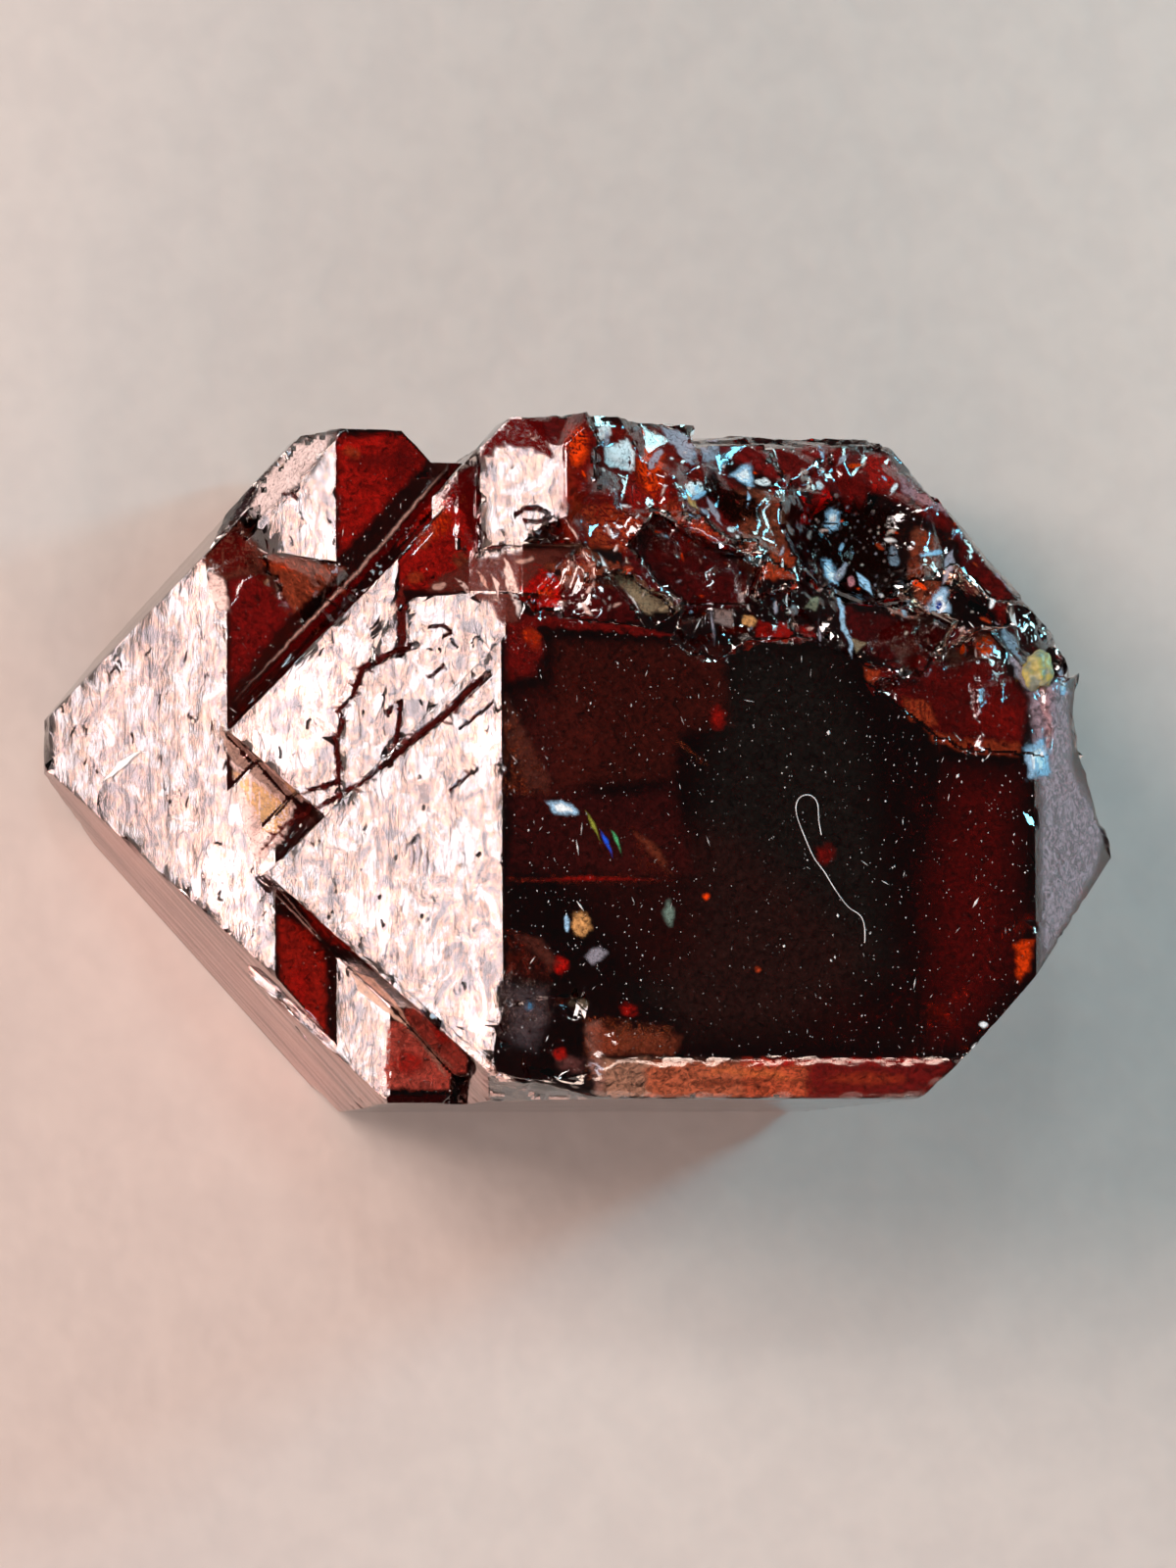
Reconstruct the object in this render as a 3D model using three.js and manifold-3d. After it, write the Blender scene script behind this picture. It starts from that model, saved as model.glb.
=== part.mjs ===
// A group of red-brown zircon crystals, grown side by side and lying on a prism face.
// Millimetres, +Z up, long axis along X, front towards -Y. The origin is the middle of the bounding box's
// lowest face. All the crystals are parallel, so they share one set of face directions, and each crystal
// is set by how far its faces lie from one point, the seed, on the level of the resting face.

import * as THREE from 'three';
import { ConvexGeometry } from 'three/addons/geometries/ConvexGeometry.js';
import { mergeVertices } from 'three/addons/utils/BufferGeometryUtils.js';
import Module from 'manifold-3d';

const wasm = await Module();
wasm.setup();

// ---- Driving dimensions ----

const AXIAL_RATIO = 0.9054; // c/a of zircon, which sets the slope of the pyramid faces
const THICKNESS = 10.6; // resting face to the highest prism face
const FRONT = 6.1; // seed to the front prism face, which all the crystals share
const BACK = 6.5; // seed to the back prism face
const POINT = 9.87; // seed to the worn left point
const END = 10.1; // seed to the broken right end
const EDGE_FLAT = 0.5; // width of the small flats along the lower edges
const FAR = 30; // a face that this crystal doesn't reach

// The main crystal carries the large top face. Its left pyramid is the one furthest out.
const main = {
  top: THICKNESS,
  frontTop: 11.3,
  left: { top: 9.12, front: 5.95, back: 3.5, bottom: 6.6 },
  right: { top: 12.55, front: 8.02, back: 8.6, bottom: 7.0 },
};

// Its neighbour behind ends in a low point and a level 1.9 mm under the top.
const twin = {
  top: 8.7,
  left: { top: 9.0, front: 4.55, back: 5.78, bottom: 6.6 },
};

// Two slabs fill the corner between them and carry the cracked part of the pyramid face.
const slab = {
  top: THICKNESS,
  start: 5.2,
  front: 2,
  back: 3.15,
  left: { top: 9.06, front: 4.2, back: 4.68, bottom: 6.6 },
};
const highSlab = { ...slab, bottom: 8.3, left: { ...slab.left, back: 5.14 } };

// A block at the back with its own small pyramid face, and a wall towards the front.
const rear = {
  top: THICKNESS,
  bottom: 8.3,
  front: -4.08,
  back: 6.45,
  left: { top: 8.2, back: 6.05 },
};

// The saddle between the slabs and the block.
const saddle = {
  top: 9.6,
  bottom: 8.3,
  front: -2.8,
  back: 4.5,
  left: { top: 8.0, back: 5.0 },
};

// The low crystal whose point is the left end, in three levels.
const low = {
  top: 5.22,
  back: 6.1,
  left: { top: 8.63, front: 7.05, back: 8.28, bottom: 6.45 },
};
const lowStep = { ...low, top: 5.62, left: { ...low.left, back: 5.0 } };
const lowerStep = { ...low, top: 6.07, left: { ...low.left, back: 4.1 } };

// A knob on the back of the low crystal, with a ramp down towards the front and a worn upper edge.
const knob = {
  top: 7.0,
  bottom: 4.4,
  left: { top: 8.5, back: 8.5 },
  right: { ...main.right, back: 1.5 },
  worn: [
    [[-0.667, -0.585, 0.462], 4.31],
    [[-0.842, 0.381, 0.381], 9.38],
  ],
};

// The foot under the knob.
const foot = {
  top: knob.bottom,
  left: low.left,
  right: knob.right,
};

// A block on its front.
const block = {
  top: 7.0,
  bottom: 4.5,
  back: -3.2,
  frontTop: 9.15,
  end: -2.98,
  left: { top: 7.77, front: 7.18 },
};

// ---- Crystals ----

const pyramidAngle = Math.atan(AXIAL_RATIO); // between the long axis and the pyramid normals
const along = Math.cos(pyramidAngle);
const across = Math.sin(pyramidAngle);

// The faces of a crystal as pairs of outward normal and distance from the seed.
function faces(crystal) {
  const { left = {}, right = main.right, bottom = 0, front = FRONT, back = BACK } = crystal;
  const flat = EDGE_FLAT * Math.SQRT1_2;
  return [
    [[0, 0, 1], crystal.top],
    [[0, 0, -1], -bottom],
    [[0, -1, 0], front],
    [[0, 1, 0], back],
    [[0, -1, 1], crystal.frontTop ?? FAR],
    [[0, -1, -1], FRONT * Math.SQRT1_2 - flat],
    [[0, 1, -1], BACK * Math.SQRT1_2 - flat],
    [[1, 0, 0], crystal.end ?? END],
    [[-1, 0, 0], crystal.start ?? POINT],
    ...(crystal.worn ?? []),
    ...pyramid(-1, left),
    ...pyramid(1, right),
  ].map(([normal, distance]) => [new THREE.Vector3(...normal).normalize(), distance]);
}

// The four pyramid faces at the left (side -1) or right (side 1) end.
function pyramid(side, { top = FAR, front = FAR, back = FAR, bottom = FAR }) {
  return [
    [[side * along, 0, across], top],
    [[side * along, -across, 0], front],
    [[side * along, across, 0], back],
    [[side * along, 0, -across], bottom],
  ];
}

// The corners of the convex solid inside all the faces: every point where three faces meet.
function corners(planes) {
  const found = [];
  for (let i = 0; i < planes.length; i += 1) {
    for (let j = i + 1; j < planes.length; j += 1) {
      for (let k = j + 1; k < planes.length; k += 1) {
        const point = meeting(planes[i], planes[j], planes[k]);
        if (point && planes.every(([normal, distance]) => normal.dot(point) < distance + 1e-6)) {
          found.push(point);
        }
      }
    }
  }
  return found;
}

// The point where three planes meet, or null if they don't meet in one point.
function meeting([n1, d1], [n2, d2], [n3, d3]) {
  const volume = n1.dot(n2.clone().cross(n3));
  if (Math.abs(volume) < 1e-6) return null;
  const point = n2.clone().cross(n3).multiplyScalar(d1);
  point.add(n3.clone().cross(n1).multiplyScalar(d2));
  point.add(n1.clone().cross(n2).multiplyScalar(d3));
  return point.divideScalar(volume);
}

function grow(crystal) {
  return solid(new ConvexGeometry(corners(faces(crystal))));
}

// ---- Broken surfaces ----

// A shell-shaped scar: a ball's surface that passes through a point and faces a direction. A low detail
// gives a splintered scar of flat facets, which lie differently at each place.
function scar([x, y, z], facing, radius, detail = Math.round(3 + radius)) {
  const ball = new THREE.IcosahedronGeometry(radius, detail);
  const outward = new THREE.Vector3(...facing).setLength(radius);
  ball.rotateX(x);
  ball.rotateZ(y);
  ball.translate(x + outward.x, y + outward.y, z + outward.z);
  return solid(ball);
}

function splinters(point, facing, radius) {
  return scar(point, facing, radius, 1);
}

// A flat break: everything beyond a plane through a point, over a square of the given size.
function split([x, y, z], facing, size = 2 * FAR, turn = 0) {
  const box = new THREE.BoxGeometry(size, size, FAR);
  const outward = new THREE.Vector3(...facing).normalize();
  box.translate(0, 0, FAR / 2);
  box.rotateZ(THREE.MathUtils.degToRad(turn));
  box.applyQuaternion(new THREE.Quaternion().setFromUnitVectors(new THREE.Vector3(0, 0, 1), outward));
  box.translate(x, y, z);
  return solid(box);
}

// A flat-floored pocket under an outline in XY. The floor has a given height at the outline's first point,
// and rises by the two slopes along X and Y.
function pocket(outline, floor, [slopeX, slopeY] = [0, 0]) {
  const shape = new THREE.Shape(outline.map(([x, y]) => new THREE.Vector2(x, y)));
  const prism = new THREE.ExtrudeGeometry(shape, { depth: THICKNESS, bevelEnabled: false });
  const [x, y] = outline[0];
  const tilt = new THREE.Matrix4();
  tilt.elements[2] = slopeX;
  tilt.elements[6] = slopeY;
  prism.applyMatrix4(tilt);
  prism.translate(0, 0, floor - slopeX * x - slopeY * y);
  return solid(prism);
}

// The splintered corner at the back right. First the flat-floored pockets along the top face's rim.
const pockets = [
  pocket([[-1.8, 2.9], [-1.5, 2.7], [0.1, 2.5], [-0.2, 3.3], [-0.6, 3.5], [-1.6, 3.2]], 10.3, [0, -0.15]),
  pocket([[0.1, 2.5], [0.7, 2.85], [-0.2, 3.5], [-0.7, 3.6]], 10.35, [-0.2, -0.45]),
  pocket(
    [[-0.3, 4.0], [0.3, 3.3], [0.8, 3.0], [2.1, 3.0], [2.3, 3.9], [1.3, 4.1], [0.3, 4.7]],
    9.6,
    [-0.05, -0.08],
  ),
  pocket(
    [[0.5, 2.25], [1.4, 2.0], [1.8, 2.3], [3.0, 2.4], [3.0, 3.2], [1.9, 3.1], [0.8, 3.0]],
    10.3,
    [0, -0.3],
  ),
  pocket(
    [[3.9, 2.0], [5.3, 1.7], [5.9, 2.7], [4.8, 3.2], [4.1, 4.0], [2.9, 4.0], [2.9, 2.4]],
    9.9,
    [-0.1, -0.4],
  ),
  pocket(
    [[4.4, 1.5], [4.9, 1.0], [5.5, 0.55], [6.3, 0.3], [8, 0.2], [8, 2.6], [6.4, 2.6], [5.2, 1.8]],
    10.2,
    [-0.08, -0.2],
  ),
  pocket([[2.2, 4.9], [6.6, 4.6], [6.6, 6.6], [2.2, 6.6]], 9.4, [0, -0.3]),
];

// Then the splintered hollows behind them, down to the back edge.
const hollows = [
  splinters([-1.7, 3.4, 9.8], [-0.1, 0.3, 1], 0.9),
  splinters([-0.7, 4.3, 10.0], [0.1, 0.1, 1], 1.0),
  splinters([0.2, 5.2, 9.6], [0.1, 0.3, 1], 1.4),
  splinters([-0.4, 5.9, 10.0], [0.3, 0.6, 1], 1.2),
  splinters([-2.0, 6.3, 9.8], [-0.1, 0.6, 0.8], 2.2),
  splinters([1.2, 5.9, 8.9], [0.1, 0.6, 1], 2.0),
  splinters([1.6, 4.8, 9.1], [0.4, 0.3, 1], 1.2),
  splinters([2.5, 5.5, 8.4], [0.1, 0.5, 1], 2.0),
  splinters([2.8, 4.4, 8.9], [0.2, 0.4, 1], 1.4),
  splinters([4.8, 4.3, 7.6], [0, 0.35, 1], 2.0),
  splinters([5.4, 5.5, 7.4], [0.2, 0.7, 1], 2.4),
  splinters([3.9, 5.8, 7.9], [0, 0.7, 1], 2.2),
  splinters([6.6, 3.8, 7.7], [0.4, 0.6, 1], 2.2),
  splinters([7.5, 2.6, 8.4], [0.5, 0.5, 1], 1.6),
  splinters([8.5, 3.2, 6.0], [0.8, 0.6, 0.3], 1.6),
];

// Flat breaks that take off the back edge and the edge beside the right end.
const edges = [
  split([5.9, 6.2, 8.0], [0, 0.985, 0.17], 9),
  split([0.9, 6.3, 9.0], [0.35, 0.7, 0.6], 2.2),
  split([7.25, 4.6, 6.4], [0.717, 0.649, 0.256], 10),
];

// The broken right end.
const brokenEnd = [
  split([11.63, -7.18, 7.27], [0.94, 0.33, 0.2], 14),
  split([9.22, 3.01, 4.6], [0.97, 0.12, 0.2], 8, -13),
  scar([8.45, 0.9, 9.2], [1, 0.2, 0.15], 1.2),
  scar([9.3, -1.9, 7.0], [1, -0.2, 0.1], 2.2),
  scar([9.6, 1.2, 3.6], [1, 0.3, 0], 2.6),
  scar([9.6, -1.4, 3.2], [1, -0.1, -0.3], 2.8),
];

// The chipped corner at the front left of the main crystal, and small bites out of other edges.
const chips = [
  split([-2.84, -5.58, 10.6], [-0.18, -0.97, 0.18], 5),
  scar([-1.7, -5.0, 10.3], [-0.05, -0.25, 1], 3),
  scar([-6.65, 4.68, 5.26], [-0.6, -0.3, 0.7], 1.8),
  scar([-5.1, -3.4, 7.9], [-0.5, -0.6, 0.6], 0.4),
  scar([-3.8, -4.6, 9.25], [-0.5, -0.6, 0.6], 0.3),
  pocket([[-3.7, 4], [-2.79, 4.05], [-2.79, 6.2], [-3.7, 6.2]], 8.74),
];

// ---- The group ----

// A closed mesh as a solid that can be joined and cut.
function solid(geometry) {
  geometry.deleteAttribute('normal');
  geometry.deleteAttribute('uv');
  const { index, attributes } = mergeVertices(geometry, 1e-5);
  return new wasm.Manifold(new wasm.Mesh({
    numProp: 3,
    vertProperties: new Float32Array(attributes.position.array),
    triVerts: new Uint32Array(index.array),
  }));
}

function geometryOf(body) {
  const { vertProperties, triVerts } = body.getMesh();
  const geometry = new THREE.BufferGeometry();
  geometry.setAttribute('position', new THREE.BufferAttribute(new Float32Array(vertProperties), 3));
  geometry.setIndex(new THREE.BufferAttribute(new Uint32Array(triVerts), 1));
  return geometry;
}

// Puts the origin in the middle of the bounding box's lowest face.
function settle(geometry) {
  geometry.computeBoundingBox();
  const centre = geometry.boundingBox.getCenter(new THREE.Vector3());
  geometry.translate(-centre.x, -centre.y, -geometry.boundingBox.min.z);
}

const crystals = [main, twin, slab, highSlab, rear, saddle, low, lowStep, lowerStep, knob, foot, block];
const cuts = [...pockets, ...hollows, ...edges, ...brokenEnd, ...chips];

const grown = crystals.map(grow).reduce((body, crystal) => body.add(crystal));
const broken = cuts.reduce((body, cut) => body.subtract(cut), grown);
const geometry = geometryOf(broken);
settle(geometry);

const zircon = new THREE.MeshStandardMaterial({ color: '#5a0f0c', roughness: 0.12, metalness: 0 });
const crystal = new THREE.Mesh(geometry, zircon);
crystal.name = 'zircon_crystal';

const part = new THREE.Group();
part.add(crystal);

export default part;
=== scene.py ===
"""Looks for the zircon crystal group: its skin, the films in and on it, dirt, light and camera.

Lengths are in mm, and Blender's own in metres. Picture points are pixels of the 1200 x 1600 photo.
The frame is the CAD model's: +X along the crystals, +Z up, front towards -Y.
"""

import itertools
from math import atan, cos, hypot, log, pi, radians, sin, sqrt
from random import Random

import bmesh
import bpy
import numpy as np
from mathutils import Matrix, Vector, noise
from mathutils.bvhtree import BVHTree
from mathutils.kdtree import KDTree


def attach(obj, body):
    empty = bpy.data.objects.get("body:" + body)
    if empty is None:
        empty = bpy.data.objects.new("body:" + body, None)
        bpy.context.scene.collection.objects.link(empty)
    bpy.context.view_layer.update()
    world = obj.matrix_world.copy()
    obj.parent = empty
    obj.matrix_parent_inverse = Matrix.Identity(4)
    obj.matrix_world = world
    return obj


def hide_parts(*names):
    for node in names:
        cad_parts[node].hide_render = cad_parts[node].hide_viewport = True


noise.seed_set(7)  # without it noise_vector is different in every run
MM = 0.001
IOR = 1.95
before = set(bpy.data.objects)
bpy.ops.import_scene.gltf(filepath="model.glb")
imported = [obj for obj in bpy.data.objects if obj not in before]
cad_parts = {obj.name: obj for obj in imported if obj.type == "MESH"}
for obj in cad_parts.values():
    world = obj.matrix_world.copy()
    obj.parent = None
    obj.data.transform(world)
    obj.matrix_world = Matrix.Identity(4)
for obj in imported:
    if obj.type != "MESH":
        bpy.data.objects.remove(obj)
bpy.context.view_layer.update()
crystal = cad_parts["zircon_crystal"]


def new_object(name, data):
    item = bpy.data.objects.new(name, data)
    bpy.context.scene.collection.objects.link(item)
    return item


# ---- Camera ----

PICTURE = (1200, 1600)
TURN = radians(11.7)  # camera swung towards the left point
LIFT = radians(4.0)  # camera swung towards the front
ROLL = radians(-0.35)
DISTANCE = 140.0
PIXEL = 0.018605  # mm across one picture pixel at the target
TARGET = Vector((-0.115, -0.2, 5.3))


def swing(a, b, angle):
    """Two directions at right angles, turned in their own plane."""
    return a * cos(angle) + b * sin(angle), b * cos(angle) - a * sin(angle)


RIGHT = Vector((cos(TURN), 0, sin(TURN)))
BACK = Vector((-sin(TURN), 0, cos(TURN)))
UP = Vector((0, 1, 0))
BACK, UP = swing(BACK, UP, -LIFT)
RIGHT, UP = swing(RIGHT, UP, ROLL)
EYE = TARGET + BACK * DISTANCE


def add_camera():
    data = bpy.data.cameras.new("camera")
    data.sensor_width = 36
    data.lens = data.sensor_width * DISTANCE / (PICTURE[1] * PIXEL)
    data.clip_start = 0.01
    data.clip_end = 10
    place = Matrix((RIGHT, UP, BACK)).transposed().to_4x4()
    place.translation = EYE * MM
    camera = new_object("camera", data)
    camera.matrix_world = place
    bpy.context.scene.camera = camera


def ray_through(x, y):
    """The direction from the camera through a picture point."""
    across = (x - PICTURE[0] / 2) * PIXEL
    upward = (PICTURE[1] / 2 - y) * PIXEL
    return (RIGHT * across + UP * upward - BACK * DISTANCE).normalized()


def points_of(line):
    """A line's picture points. They may be written as text: x,y x,y and so on."""
    if isinstance(line, str):
        return [tuple(int(number) for number in pair.split(",")) for pair in line.split()]
    return line


add_camera()

# ---- The CAD solid, in mm ----

WELD = 0.00001  # corners closer than this are one
FLAT = radians(0.2)  # triangles closer than this in direction are one face


def triangles(mesh):
    """A mesh's corners and triangles, with its flat faces cut up afresh."""
    work = bmesh.new()
    work.from_mesh(mesh)
    bmesh.ops.remove_doubles(work, verts=work.verts, dist=WELD * MM)
    bmesh.ops.dissolve_limit(work, angle_limit=FLAT, verts=work.verts, edges=work.edges)
    bmesh.ops.triangulate(work, faces=work.faces, quad_method="BEAUTY", ngon_method="BEAUTY")
    work.verts.index_update()
    points = np.array([v.co / MM for v in work.verts])
    corners = np.array([[v.index for v in f.verts] for f in work.faces])
    work.free()
    return points, corners


def normals_of(points, corners):
    """Each triangle's direction and area."""
    a, b, c = (points[corners[:, k]] for k in range(3))
    cross = np.cross(b - a, c - a)
    length = np.linalg.norm(cross, axis=1, keepdims=True)
    return cross / np.maximum(length, 1e-12), length[:, 0] / 2


POINTS, CORNERS = triangles(crystal.data)
FACING, AREA = normals_of(POINTS, CORNERS)
SURFACE = BVHTree.FromPolygons(POINTS.tolist(), CORNERS.tolist())


def seen(x, y):
    """The CAD solid's point behind a picture point."""
    return SURFACE.ray_cast(EYE, ray_through(x, y))[0]


def scatter(dice, chosen, count):
    """Random points on the chosen triangles of the CAD solid, drawn one at a time."""
    ids = np.nonzero(chosen)[0]
    for k in dice.choices(list(ids), weights=list(AREA[ids]), k=count):
        u, v = dice.random(), dice.random()
        if u + v > 1:
            u, v = 1 - u, 1 - v
        a, b, c = POINTS[CORNERS[k]]
        yield a + (b - a) * u + (c - a) * v


# ---- Crystal faces ----

SLOPE = atan(0.9054)  # zircon's c/a sets the pyramid faces
ALONG, ACROSS = cos(SLOPE), sin(SLOPE)
DIAGONAL = sqrt(0.5)
PYRAMID_TOP = (-ALONG, 0, ACROSS)
PYRAMID_FRONT = (-ALONG, -ACROSS, 0)
PRISM = [(0, 0, 1), (0, 0, -1), (0, 1, 0), (0, -1, 0)]
BEVELS = [(0, y * DIAGONAL, z * DIAGONAL) for y in (-1, 1) for z in (-1, 1)]
PYRAMIDS = [(x * ALONG, 0, z * ACROSS) for x in (-1, 1) for z in (-1, 1)]
PYRAMIDS += [(x * ALONG, y * ACROSS, 0) for x in (-1, 1) for y in (-1, 1)]
SAME_FACE = cos(radians(1.2))
SHARP_EDGE = cos(radians(24))


def near_any(normals, directions):
    """True for the normals that match one of the directions."""
    return (normals @ np.array(directions).T > SAME_FACE).any(axis=1)


def splintered(points):
    """True over the broken corner at the back right."""
    x, y, z = points.T
    return (x > -2.4) & (y > 1.0 - 0.05 * x) & (z > 5.5)


def sharp_edge_points(spacing=0.05):
    """Points along the CAD solid's sharp edges."""
    found = {}
    samples = []
    for face, triple in enumerate(CORNERS):
        for k in range(3):
            pair = tuple(sorted((triple[k], triple[(k + 1) % 3])))
            other = found.setdefault(pair, face)
            if other == face or FACING[other] @ FACING[face] > SHARP_EDGE:
                continue
            start, end = POINTS[pair[0]], POINTS[pair[1]]
            steps = int(np.linalg.norm(end - start) / spacing) + 1
            samples += [start + (end - start) * t for t in np.linspace(0, 1, steps + 1)]
    return samples


# ---- Cracks, etch marks and bright spots ----

# Open cracks in the growth faces: half width and depth in mm, then a line of picture points.
CRACKS = [
    (0.035, 0.10, "262,872 273,860 297,837 322,826 347,811 370,797 394,778"),
    (0.055, 0.14, "394,778 411,764 430,748 452,731 464,720 480,704 498,688"),
    (0.030, 0.08, "300,818 318,806 335,801 346,797"),
    (0.035, 0.10, "346,797 345,780 342,755 350,738 346,725 358,710"),
    (0.050, 0.12, "358,710 364,700 370,682 388,674 405,664 424,658"),
    (0.100, 0.16, "411,592 410,620 411,650 408,664"),
    (0.035, 0.12, "409,716 407,738 403,760 399,780"),
    (0.020, 0.06, "470,742 486,730 502,717"),
    (0.020, 0.06, "460,806 470,797 486,785"),
    (0.020, 0.06, "437,640 452,638 461,645 452,650"),
    (0.020, 0.06, "438,691 446,685 452,679"),
    (0.020, 0.05, "393,726 400,722 396,730"),
    (0.025, 0.06, "525,526 535,519 548,518 560,524"),
    (0.025, 0.06, "535,531 548,533 562,528"),
    (0.020, 0.05, "287,505 297,503 303,509"),
]
# Where the growth faces get a painted highlight, a brighter tint of their reflection, and where the
# broken faces sparkle most: picture point and radius.
PAINTED_HIGHLIGHT_SPOTS = [
    (232, 915, 62), (268, 760, 40), (310, 705, 50), (205, 600, 28),
    (328, 555, 20), (490, 1035, 26), (500, 755, 20), (385, 930, 26),
]
SPARKLE = [
    (870, 560, 55), (955, 600, 45), (755, 480, 35), (620, 462, 30),
    (1045, 690, 50), (585, 590, 30), (735, 640, 26), (500, 600, 30),
]


def crack_lines():
    """Each crack as its half width, depth and line in mm."""
    return [(w, d, np.array([seen(x, y) for x, y in points_of(line)])) for w, d, line in CRACKS]


def etch_marks(count, seed):
    """Short curved marks scattered over the growth faces, as half width, depth and line."""
    dice = Random(seed)
    down = np.array((ACROSS, 0, ALONG))
    side = np.array((0, 1, 0))
    marks = []
    for start in scatter(dice, near_any(FACING, [PYRAMID_TOP]), count):
        angle = dice.gauss(pi / 2, 0.5)
        bend = dice.uniform(-1.4, 1.4)
        step = dice.uniform(0.02, 0.06)
        line = [start]
        for _ in range(4):
            line.append(line[-1] + (down * cos(angle) + side * sin(angle)) * step)
            angle += bend * 0.3
        marks.append((dice.uniform(0.009, 0.014), dice.uniform(0.010, 0.022), np.array(line)))
    return marks


def distance_to_line(points, line):
    nearest = np.full(len(points), np.inf)
    for start, end in zip(line[:-1], line[1:]):
        way = end - start
        share = np.clip((points - start) @ way / (way @ way), 0, 1)
        gap = np.linalg.norm(points - start - share[:, None] * way, axis=1)
        nearest = np.minimum(nearest, gap)
    return nearest


def brightness_at(points, spots):
    """How far each point stands out as bright, from 0 to 1."""
    bright = np.zeros(len(points))
    for x, y, radius in spots:
        gap = np.linalg.norm(points - np.array(seen(x, y)), axis=1) / (radius * PIXEL)
        bright = np.maximum(bright, np.exp(-(gap**2)))
    return bright


# ---- Relief ----

CRACK_REACH = 0.2  # from its line
WORN = 0.16  # how far wear reaches from a sharp edge
BAY = 0.4  # how far the bays of a broken rim reach in from it


def facets_of(where, size, tilt):
    """Height of a patchwork of small facets, each with its own tilt."""
    _, centres = noise.voronoi(where / size)
    lean = noise.noise_vector(centres[0] * 7.3)
    return (where / size - centres[0]).dot(lean) * size * tilt


def relief(where, growth, broken, edge):
    """How far the surface stands out at a point that is edge from the nearest sharp edge."""
    height = 0.0
    if broken > 0:
        splinters = facets_of(where, size=1.3, tilt=0.13) + facets_of(where, size=0.45, tilt=0.08)
        height += broken * (splinters + 0.02 * noise.noise(where * 1.5))
    if growth > 0:
        stretched = Vector((where.x * 2.6, where.y * 1.1, where.z * 2.6))
        hills = noise.noise(stretched * 1.3) * 0.007 + abs(noise.noise(stretched * 3.1)) * 0.003
        height += growth * hills
    if broken > 0.3 and edge < BAY:
        bay = noise.noise(where * 0.9) + 0.6 * noise.noise(where * 2.7)
        height -= max(0.0, bay) * 0.4 * (1 - edge / BAY)
    if edge < WORN:
        bite = noise.noise(where * 2.1) + 0.7 * noise.noise(where * 6.3)
        height -= (0.008 + max(0.0, bite - 0.15) * 0.11) * (1 - edge / WORN)
    return height


# ---- Refined mesh ----

# The longest edge allowed in the mesh, by place.
PLAIN_EDGE = 0.42
SPLINTER_EDGE = 0.17
RIM_EDGE = 0.23
CRACK_EDGE = 0.06
UNDERSIDE_EDGE = 0.9
UNDERSIDE = 0.3  # height under which the mesh is coarse
RESTING = 0.1  # height under which the mesh has no relief
# The grid that holds those lengths: its cell, low corner and size.
CELL = 0.1
LOW = np.array((-10.6, -6.9, -0.6))
GRID = (212, 138, 118)


def paint(grid, points, value, radius=0.1):
    """Lowers the grid's value to value within radius of the points."""
    reach = int(radius / CELL)
    cells = np.unique(((np.array(points) - LOW) / CELL).astype(int), axis=0)
    for shift in np.ndindex((2 * reach + 1,) * 3):
        at = tuple((cells + np.array(shift) - reach).T)
        np.minimum.at(grid, at, value)


def longest_edges(rim, cracks):
    """A grid of the longest edge allowed in each cell."""
    grid = np.full(GRID, PLAIN_EDGE, dtype=np.float32)
    centre = np.stack(np.indices(GRID), axis=-1).reshape(-1, 3) * CELL + LOW
    grid[splintered(centre).reshape(GRID)] = SPLINTER_EDGE
    paint(grid, rim, RIM_EDGE)
    for width, _, line in cracks:
        steps = np.linspace(0, 1, 30)
        along = [a + (b - a) * t for a, b in zip(line[:-1], line[1:]) for t in steps]
        paint(grid, along, max(CRACK_EDGE, 1.4 * width))
    grid[:, :, : int((UNDERSIDE - LOW[2]) / CELL)] = UNDERSIDE_EDGE
    return grid


def refine(points, corners, parent, limit, rounds=9):
    """Halves edges that are longer than limit(their middle), over and over."""
    for _ in range(rounds):
        edges = np.sort(corners[:, [[0, 1], [1, 2], [2, 0]]].reshape(-1, 2), axis=1)
        pairs, inverse = np.unique(edges, axis=0, return_inverse=True)
        first, second = points[pairs[:, 0]], points[pairs[:, 1]]
        middle = (first + second) / 2
        split = np.linalg.norm(first - second, axis=1) > limit(middle)
        new = np.full(len(pairs), -1)
        new[split] = len(points) + np.arange(split.sum())
        points = np.vstack([points, middle[split]])
        mids = new[inverse.reshape(-1)].reshape(-1, 3)
        corners, parent = split_triangles(corners, parent, mids)
    return points, corners, parent


def split_triangles(corners, parent, mids):
    """Cuts each triangle at the middles of its sides that have one. The others are -1."""
    marked = (mids >= 0).sum(axis=1)
    kept = [corners[marked == 0]]
    owner = [parent[marked == 0]]

    def put(rows, *triples):
        for triple in triples:
            kept.append(np.stack(triple, axis=1))
            owner.append(parent[rows])

    rows = np.nonzero(marked == 3)[0]
    (a, b, c), (ab, bc, ca) = corners[rows].T, mids[rows].T
    put(rows, (a, ab, ca), (b, bc, ab), (c, ca, bc), (ab, bc, ca))
    for turn in range(3):
        order = np.roll(np.arange(3), -turn)
        ab, bc, ca = mids[:, order].T
        rows = np.nonzero((marked == 1) & (ab >= 0))[0]
        a, b, c = corners[rows][:, order].T
        put(rows, (a, ab[rows], c), (ab[rows], b, c))
        rows = np.nonzero((marked == 2) & (ca < 0))[0]
        a, b, c = corners[rows][:, order].T
        put(rows, (ab[rows], b, bc[rows]), (a, ab[rows], bc[rows]), (a, bc[rows], c))
    return np.vstack(kept), np.concatenate(owner)


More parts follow.
